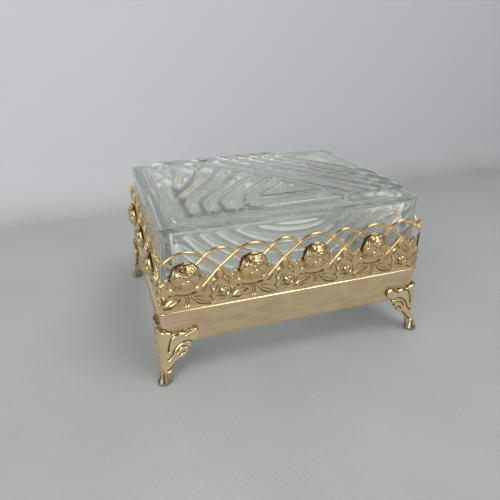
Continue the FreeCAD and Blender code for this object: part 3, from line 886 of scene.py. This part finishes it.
def rose_head():
    """Points, faces and hollow shade of one rose head: a full bloom with a bevelled crown."""
    count = int(round(2 * (rose_radius + 1.0) / rose_grid))
    line = rose_grid * (np.arange(count + 1) - count / 2)
    a, w = np.meshgrid(line, line, indexing="ij")
    globe = rose_depth * np.clip(1 - (np.hypot(a, w) / (rose_radius + rose_brim)) ** 3, 0, 1) ** 0.5
    dome = blended_min(globe, rose_depth - crown_slope * (w - crown_start), 0.8)
    edge = np.hypot(a - core_centre[0], w - core_centre[1]) - core_radius
    height = dome
    # Painted shade: dark where no petal covers the bloom and in a ring just outside each petal
    shade = np.full(a.shape, 0.9)
    for at_a, at_w, wide, tall, lean, lift, bulge, lip, dark in petals:
        along, across = tilted(a, w, (at_a, at_w), lean)
        share = np.hypot(along / wide, across / tall)
        edge = np.minimum(edge, (share - 1) * min(wide, tall))
        petal = dome + lift + bulge * (1 - share ** 2) + lip * bell(share - petal_lip, petal_lip_width)
        cover = eased(1 - share, petal_edge)
        height = height * (1 - cover) + petal * cover
        shade = np.maximum(shade, dark * bell(share - petal_gap, petal_edge)) * (1 - cover)
    shade = np.maximum(shade, sunk_shade(height, 3, 0.30))

    def place(across, up, out):
        return np.stack([across, out, up], -1)

    points, faces, used = trimmed_sheet(a, w, edge, height, 0 * height - rose_sunk, place)
    return points, faces, np.tile(shade.ravel()[used], 2)

def make_roses(side, finish, head):
    """The rose heads of one side."""
    length, place = strip_place(side)
    points, faces, shade = head
    spots = np.arange(first_rose[side], length - rose_corner_clear, rose_pitch)
    shape = gathered([on_strip(place, points + np.array([spot, 0, rose_centre]), faces) for spot in spots])
    shades = np.tile(shade, len(spots))
    make_piece("rose_heads_" + side, shape, finish, "stand", "roses_" + side, shades)

# Feet; their outline and flutes are given as shares of the wing's span and of the foot's height

# Scallops of a wing from the ankle up: a point that each arc passes and the point where it ends
scallops = [
    ((0.21, 0.28), (0.43, 0.46)),
    ((0.59, 0.485), (0.615, 0.545)),
    ((0.71, 0.575), (0.68, 0.635)),
    ((0.81, 0.67), (0.80, 0.74)),
    ((1.03, 0.86), (0.94, 0.97)),
    ((0.78, 0.94), (0.63, 0.905)),
    ((0.50, 0.925), (0.34, 0.915)),
    ((0.28, 0.92), (0.22, 0.955)),
    ((0.12, 0.97), (0.03, 0.985)),
]

# Flutes: points of each sunk line
flutes = [
    [(0.13, 0.61), (0.165, 0.75), (0.24, 0.855), (0.34, 0.895), (0.46, 0.905)],
    [(0.11, 0.45), (0.22, 0.535), (0.29, 0.63), (0.42, 0.71), (0.585, 0.755), (0.78, 0.745)],
    [(0.36, 0.565), (0.45, 0.645), (0.54, 0.67), (0.66, 0.66)],
    [(0.43, 0.505), (0.50, 0.55), (0.58, 0.575)],
    [(0.10, 0.235), (0.17, 0.30), (0.25, 0.36), (0.40, 0.45)],
    [(0.19, 0.16), (0.22, 0.25), (0.28, 0.33)],
    [(0.60, 0.865), (0.72, 0.90), (0.84, 0.935)],
]

# Swollen tips of the scallops: place, radius and rise
wing_tips = [
    ((0.88, 0.925), 1.3, 0.35),
    ((0.74, 0.735), 0.7, 0.4),
    ((0.64, 0.635), 0.7, 0.4),
    ((0.57, 0.545), 0.7, 0.4),
]

# Flared toe: height and radius, in millimetres
toe_profile = [
    (0, 2.2), (0.3, 2.8), (0.9, 3.0), (1.6, 2.7),
    (2.6, 2.1), (3.8, 1.6), (5.0, 1.25), (toe_height, 0.8),
]

def leg_face(height):
    """How far a foot stands out from the band at a height above the table."""
    ankle = wing_bulge + leg_lean
    above = ankle - leg_lean * (height - ankle_height) / (foot_height - ankle_height)
    below = ankle + (toe_spread - ankle) * np.clip(1 - height / ankle_height, 0, 1) ** 2
    return np.where(height >= ankle_height, above, below)

def on_wing(share):
    """Distance from the corner and height of a place given in shares."""
    return share[0] * wing_span, share[1] * foot_height

def wing_edge():
    """Scalloped outline of one wing, as distances from the corner and heights."""
    at = (ankle_width, leg_low)
    outline = [(wing_fold, leg_low), at]
    for through, end in scallops:
        outline += arc_through(at, on_wing(through), on_wing(end))
        at = on_wing(end)
    outline.append((wing_fold, at[1]))
    return np.array(outline)

def foot_relief(x, z):
    """Outline distance, relief and painted shade along the flutes of a wing."""
    edge = outline_distance(x, z, wing_edge())
    relief = np.full(x.shape, 0.15)
    dark = np.zeros(x.shape)
    for flute in flutes:
        gap = line_distance(x, z, smooth_curve([on_wing(point) for point in flute]))
        relief -= flute_depth * bell(gap, flute_width)
        relief += 0.12 * bell(gap - flute_lip, 0.45)
        dark = np.maximum(dark, 1.1 * bell(gap, 0.28))
    relief += 0.18 * bell(edge + wing_bead, 0.35) * eased(z - 0.35 * foot_height, 4.0)
    relief -= 0.5 * eased(edge + wing_round, wing_round)
    for tip, size, rise in wing_tips:
        tip_x, tip_z = on_wing(tip)
        relief += half_round(np.hypot(x - tip_x, z - tip_z), size, rise)
    return edge, relief, dark

def make_toe(side_x, side_y):
    """Flared toe with a channel down each face, as points, faces and dark shade."""
    points, faces = ball((0, 0, 0), 1, rings=40, spokes=48)
    level = (points[:, 2] + 1) / 2 * toe_height
    open_side = np.hypot(points[:, 0], points[:, 1]) >= 0.02
    turn = np.arctan2(points[:, 1], points[:, 0])
    channel = np.zeros(len(points))
    for face in (0, math.pi / 2):
        swing = (turn - face + math.pi) % (2 * math.pi) - math.pi
        channel = np.maximum(channel, bell(swing, 0.34))
    channel = channel * eased(level - 0.6, 0.6) * open_side
    girth = np.interp(level, *zip(*toe_profile)) * open_side - toe_channel * channel
    x = side_x * (frame_width / 2 + toe_out + girth * np.cos(turn))
    y = side_y * (frame_depth / 2 + toe_out + girth * np.sin(turn))
    return np.stack([x, y, level], -1), faces, 0.9 * channel

def make_foot(corner, side_x, side_y, finish):
    """Corner foot: a fluted leaf folded round the corner of the band, on a flared toe."""
    arc = foot_corner * math.pi / 2
    count = int(round((arc / 2 + wing_span - foot_corner + 2.0) / foot_grid))
    rows = int(round((foot_height + 1.5 - leg_low) / foot_grid))
    heights = leg_low - 0.4 + foot_grid * np.arange(rows + 1)
    s, z = np.meshgrid(foot_grid * np.arange(-count, count + 1), heights, indexing="ij")
    edge, relief, dark = foot_relief(np.abs(s) - arc / 2 + foot_corner, z)
    sunk = np.maximum(dark, sunk_shade(relief, 4, 0.35))

    def place(along, height, out):
        far = leg_face(height) + out
        turn = np.clip(along / arc, -0.5, 0.5) * math.pi / 2 - math.pi / 4
        rest = np.sign(along) * np.maximum(np.abs(along) - arc / 2, 0)
        px = foot_corner + (foot_corner + far) * np.sin(turn) + np.maximum(rest, 0)
        py = foot_corner - (foot_corner + far) * np.cos(turn) - np.minimum(rest, 0)
        return np.stack([side_x * (frame_width / 2 - px), side_y * (frame_depth / 2 - py), height], -1)

    points, faces, used = trimmed_sheet(s, z, edge, relief, 0 * relief - foot_thickness, place)
    toe, toe_faces, toe_dark = make_toe(side_x, side_y)
    whole, all_faces = gathered([(points, faces), (toe, toe_faces)])
    shade = np.r_[np.tile(sunk.ravel()[used], 2), toe_dark]
    if side_x * side_y < 0:
        all_faces = [f[::-1] for f in all_faces]
    shape = (whole, all_faces)
    make_piece("leaf_foot_" + corner, shape, finish, "stand", "foot_" + corner, shade)

# Glass

def ring_points(width, depth, radius, spacing):
    """Points round a rounded rectangle, with their outward directions."""
    points = []
    outward = []
    corners = [(1, 1, 0), (-1, 1, 90), (-1, -1, 180), (1, -1, 270)]
    for sx, sy, base in corners:
        centre = np.array([sx * (width / 2 - radius), sy * (depth / 2 - radius)])
        for turn in np.radians(base + np.linspace(0, 90, 7)):
            outward.append((math.cos(turn), math.sin(turn)))
            points.append(centre + radius * np.array(outward[-1]))
        run = (width if base in (0, 180) else depth) - 2 * radius
        steps = int(run / spacing)
        along = np.array([-math.sin(math.radians(base + 90)), math.cos(math.radians(base + 90))])
        for k in range(1, steps):
            points.append(centre + radius * np.array(outward[-1]) + along * run * k / steps)
            outward.append(outward[-1])
    return np.array(points), np.array(outward)

def swag(across, half, height):
    """Depth of a glass wall's flutes: rings about a point above it, clear of the corners."""
    reach = np.hypot(across, box_top + swag_centre - height)
    reed = np.abs(np.sin(math.pi * (reach - swag_lens) / swag_pitch)) ** 0.8
    below_rim = eased(box_top - swag_rim - height, 1.0)
    strength = eased(reach - swag_lens, 1.2) * eased(half - swag_margin - np.abs(across), 1.2)
    strength = strength * eased(height - box_low - swag_foot, 1.5) * below_rim
    lens = lens_depth * np.clip((swag_lens - reach) / lens_fade, 0, 1) ** 1.5 * below_rim
    return -swag_depth * (1 - reed) * strength - lens

def at_level(ring, level):
    """A flat ring of points at a height."""
    return np.column_stack([ring, np.full(len(ring), level)])

def make_glass_box(finish):
    """Pressed-glass box with swagged flutes outside and a smooth drafted pocket."""
    flat, outward = ring_points(glass_width, glass_depth, glass_corner, glass_spacing)
    on_long = np.abs(outward[:, 1]) > 0.99
    on_short = np.abs(outward[:, 0]) > 0.99
    rings = []
    for inset, lift in ((1.0, 0.0), (0.4, 0.35), (0.0, 1.0)):
        rings.append(at_level(flat - outward * glass_chamfer * inset, box_low + glass_chamfer * lift))
    for level in np.linspace(box_low + glass_chamfer + 0.5, box_top - 0.5, wall_levels):
        inward = np.zeros(len(flat))
        inward[on_long] = swag(flat[on_long, 0], glass_width / 2, level)
        inward[on_short] = swag(flat[on_short, 1], glass_depth / 2, level)
        rings.append(at_level(flat + outward * inward[:, None], level))
    rings.append(at_level(flat - outward * glass_lip, box_top))
    for share in np.linspace(0, 1, pocket_levels):
        inset = glass_wall + pocket_draft * share + pocket_round * max(0.0, (share - 0.9) / 0.1) ** 2
        squeeze = np.array([1 - 2 * inset / glass_width, 1 - 2 * inset / glass_depth])
        rings.append(at_level(flat * squeeze, box_top - share * (box_top - box_low - glass_floor)))
    shape = stacked_rings(rings)
    make_piece("pressed_glass_box", shape, finish, "box", "glass_box", crease=glass_crease)

def back_rib_drop(x):
    """Fall of the back ribs from the apex, steep on the right and easing off to the left."""
    table = np.linspace(-glass_width / 2 - 2, glass_width / 2 + 2, rib_steps)
    slope = rib_slack + (rib_steep - rib_slack) * eased(table - rib_turn_start, rib_turn_length)
    drop = np.cumsum(slope) * (table[1] - table[0])
    return np.interp(x, table, drop - np.interp(apex_x, table, drop))

def rib_phase(across, edges):
    """How far a place lies across its own rib, from 0 to 1."""
    count = np.interp(across, edges, range(len(edges)))
    return count - np.floor(count)

def rib_shape(phase, fullness):
    """Round-topped section of a rib, flatter on top with more fullness."""
    return np.clip(1 - np.abs(2 * phase - 1) ** fullness, 0, 1) ** 0.6

def rib_tip(phase, tip):
    """Where a rib with a round end stops."""
    return tip + rib_tip_round * (2 * phase - 1) ** 2

def finger_across(x, y):
    """Place across the fingers, which fan out towards the back."""
    return (finger_heading[0] * x + finger_heading[1] * y) * (1 - finger_fan * (y - finger_fan_middle))

def finger_ribs(x, y):
    """Slanting ribs of the lid's left half, which bend down to round lower ends."""
    above = (y - finger_bend) / finger_bend_round
    across = finger_across(x, finger_bend + finger_bend_round * np.log1p(np.exp(above)))
    phase = rib_phase(across, finger_edges)
    lobe = rib_shape(phase, 4) * eased(y - rib_tip(phase, finger_tip), 1.2)
    inside = eased(across - finger_edges[0], 0.4) * eased(finger_edges[-1] - across, 0.4)
    return lobe * inside * eased(x - finger_left, 7.0)

def lid_ribs(x, y):
    """Height of the lid's ribs, nested about a clear triangle, with a plain border in front."""
    right = right_edges[0] + right_squeeze * (y - apex_y - back_rib_drop(x))
    inside = right_edges[0] - right
    phase = rib_phase(right, right_edges)
    right_ribs = rib_shape(phase, 3) * eased(y - rib_tip(phase, right_tip), 1.5)
    right_ribs = right_ribs * eased(x + glass_width / 2 - right_border, 4.0)
    front = triangle_front - y
    starts = np.interp(front, front_edges, front_starts)
    front_ribs = rib_shape(rib_phase(front, front_edges), 3) * eased(x - starts, 3.0) * eased(inside, 0.8)
    left = finger_across(x, np.maximum(y, finger_bend)) - finger_edges[0]
    fingers = finger_ribs(x, y) * eased(inside, 0.5) * eased(left, 0.3)
    return rib_height * np.where(inside < 0, right_ribs, np.maximum(front_ribs, fingers))

def make_lid(finish):
    """Loose lid plate with pressed ribs above and a locating ridge below."""
    columns = int(round((glass_width + 2) / lid_grid))
    rows = int(round((glass_depth + 2) / lid_grid))
    across = lid_grid * (np.arange(columns + 1) - columns / 2)
    deep = lid_grid * (np.arange(rows + 1) - rows / 2)
    x, y = np.meshgrid(across, deep, indexing="ij")
    edge = rounded_distance(x, y, glass_width, glass_depth, glass_corner)
    rounded = lid_edge_drop * eased(edge + lid_edge_round, lid_edge_round)
    top = lid_top - rib_height + lid_ribs(x, y) - rounded
    inset = 2 * (glass_wall + ridge_clearance)
    ridge = rounded_distance(x, y, glass_width - inset, glass_depth - inset, pocket_corner)
    ridge_shape = eased(-ridge, ridge_ease) * eased(ridge + ridge_width, ridge_ease)
    under = box_top + lid_seat_gap - ridge_drop * ridge_shape

    def place(u, v, height):
        return np.stack([u, v, height], -1)

    shape = trimmed_sheet(x, y, edge, top, under, place)[:2]
    make_piece("ribbed_glass_lid", shape, finish, "lid", "glass_lid", crease=glass_crease)

# Stage, camera and light

def set_camera():
    """Camera at the solved place of the photograph."""
    data = bpy.data.cameras.new("camera")
    data.sensor_width = sensor
    data.sensor_fit = "HORIZONTAL"
    data.lens = camera_focal / image_side * sensor
    data.clip_start = 0.01
    camera = add_object("camera", data)
    level = math.cos(camera_pitch)
    ahead = Vector((math.sin(camera_yaw) * level, math.cos(camera_yaw) * level, -math.sin(camera_pitch)))
    right = Vector((math.cos(camera_yaw), -math.sin(camera_yaw), 0))
    up = right.cross(ahead)
    tilted_right = right * math.cos(camera_roll) + up * math.sin(camera_roll)
    tilted_up = -right * math.sin(camera_roll) + up * math.cos(camera_roll)
    turn = Matrix((tilted_right, tilted_up, -ahead)).transposed().to_4x4()
    camera.matrix_world = Matrix.Translation(Vector(camera_place) * MM) @ turn
    bpy.context.scene.camera = camera

def cloth_finish():
    """Pale woven cloth with painted light up the wall and painted shade to the right; seen through glass it
    glows as painted light except under the box, and it is clear from behind.
    """
    finish = new_finish("pale_cloth")
    threads = []
    for way in ("X", "Y"):
        sockets = {"Vector": finish.coords(), "Scale": weave_scale}
        threads.append(finish.node("TexWave", {"bands_direction": way}, sockets, "Fac"))
    weave = threads[0] * threads[1] + finish.noise(scale=1500, detail=2.0)
    cloud = finish.noise(scale=18, detail=3.0)
    floor = finish.mixed(finish.clamped(cloud, 0.3, 0.7), *cloth_floor)
    # Painted light: the cloth is painted lighter where it rises into the wall
    rise = finish.clamped(finish.along("Z"), 0.0, wall_bend * MM)
    tone = finish.mixed(rise, floor, cloth_wall_painted_light)
    # Painted shade: the cloth is painted darker towards the right
    right_painted_shade = finish.clamped(finish.along("X"), cloth_painted_shade_from * MM, cloth_painted_shade_to * MM)
    tone = finish.mixed(right_painted_shade * 0.24, tone, dark_ceiling_and_painted_shade)
    cloth = finish.surface({"Base Color": tone, "Roughness": 0.9}, bump=weave, strength=0.2, reach=0.0002)
    # Painted light: seen through glass the cloth glows, near white on the floor and darker up the wall, with
    # no glow under the box
    pale = finish.node("Emission", {}, {"Color": finish.mixed(rise, *cloth_painted_glow_through_glass)})
    share = finish.light_path("Is Transmission Ray") * (0.9 - 0.9 * finish.over_frame(*glow_fade_under_box))
    outside = finish.node("NewGeometry", {}, {}, "Backfacing")
    clear = finish.node("BsdfTransparent")
    return finish.done(finish.either(outside, finish.either(share, cloth, pale), clear))

def make_stage(finish):
    """Floor that sweeps up into a wall behind."""
    start = wall_behind - wall_bend
    profile = [(-stage_reach, 0.0), (start, 0.0)]
    for turn in np.linspace(0, math.pi / 2, 10)[1:]:
        profile.append((start + wall_bend * math.sin(turn), wall_bend - wall_bend * math.cos(turn)))
    profile.append((wall_behind, wall_height))
    points = [(x, y, z) for y, z in profile for x in (-stage_reach, stage_reach)]
    faces = [[2 * k, 2 * k + 1, 2 * k + 3, 2 * k + 2] for k in range(len(profile) - 1)]
    add_object("cloth_sweep", smooth_mesh("cloth_sweep", points, faces, finish))

def add_lamp(name, place, aim, size, power):
    """Soft square lamp aimed at a point, in metres."""
    data = bpy.data.lights.new(name, "AREA")
    data.shape = "SQUARE"
    data.size = size
    data.energy = power
    lamp = add_object(name, data)
    lamp.location = place
    heading = Vector(aim) - Vector(place)
    lamp.rotation_euler = heading.to_track_quat("-Z", "Y").to_euler()

def set_light():
    """Pale room, dimmer to the right and darker overhead in reflections, with soft lamps."""
    world = bpy.data.worlds.new("room")
    room = Finish(world)
    place = room.node("TexCoord", output="Generated")
    ceiling = room.clamped(room.along("Z", place), 0.25, 0.70)
    tone = room.mixed(room.clamped(room.along("X", place), -0.8, 0.8), *room_sides)
    tone = room.mixed(ceiling * room.light_path("Is Glossy Ray"), tone, dark_ceiling_and_painted_shade)
    room.done(room.node("Background", {}, {"Color": tone}), "OutputWorld")
    bpy.context.scene.world = world
    for name, settings in lamps.items():
        add_lamp(name, *settings)

def main():
    bpy.context.scene.view_settings.view_transform = "Standard"
    bpy.context.scene.cycles.max_bounces = 20
    bpy.context.scene.cycles.glossy_bounces = 12
    bpy.context.scene.cycles.transmission_bounces = 20
    set_camera()
    make_stage(cloth_finish())
    set_light()
    satin = gilt_satin()
    bright = gilt_bright("gilt_bright_gallery", gallery_gold, polish=0.09)
    cast = gilt_bright("gilt_cast_feet", foot_gold, polish=0.10, tarnish=0.8)
    for node in ("base_pan", "foot_rivets"):
        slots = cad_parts[node].data.materials
        slots.clear()
        slots.append(satin)
    head = rose_head()
    for side in first_rose:
        make_gallery(side, bright)
        make_roses(side, bright, head)
    for row, side_y in (("front", -1), ("back", 1)):
        for column, side_x in (("left", -1), ("right", 1)):
            make_foot(row + "_" + column, side_x, side_y, cast)
    make_glass_box(pressed_glass("pressed_glass_clear", box_clear, haze=0.05, share=0.93))
    make_lid(pressed_glass("pressed_glass_green", lid_green, haze=0.01, share=0.97))

main()
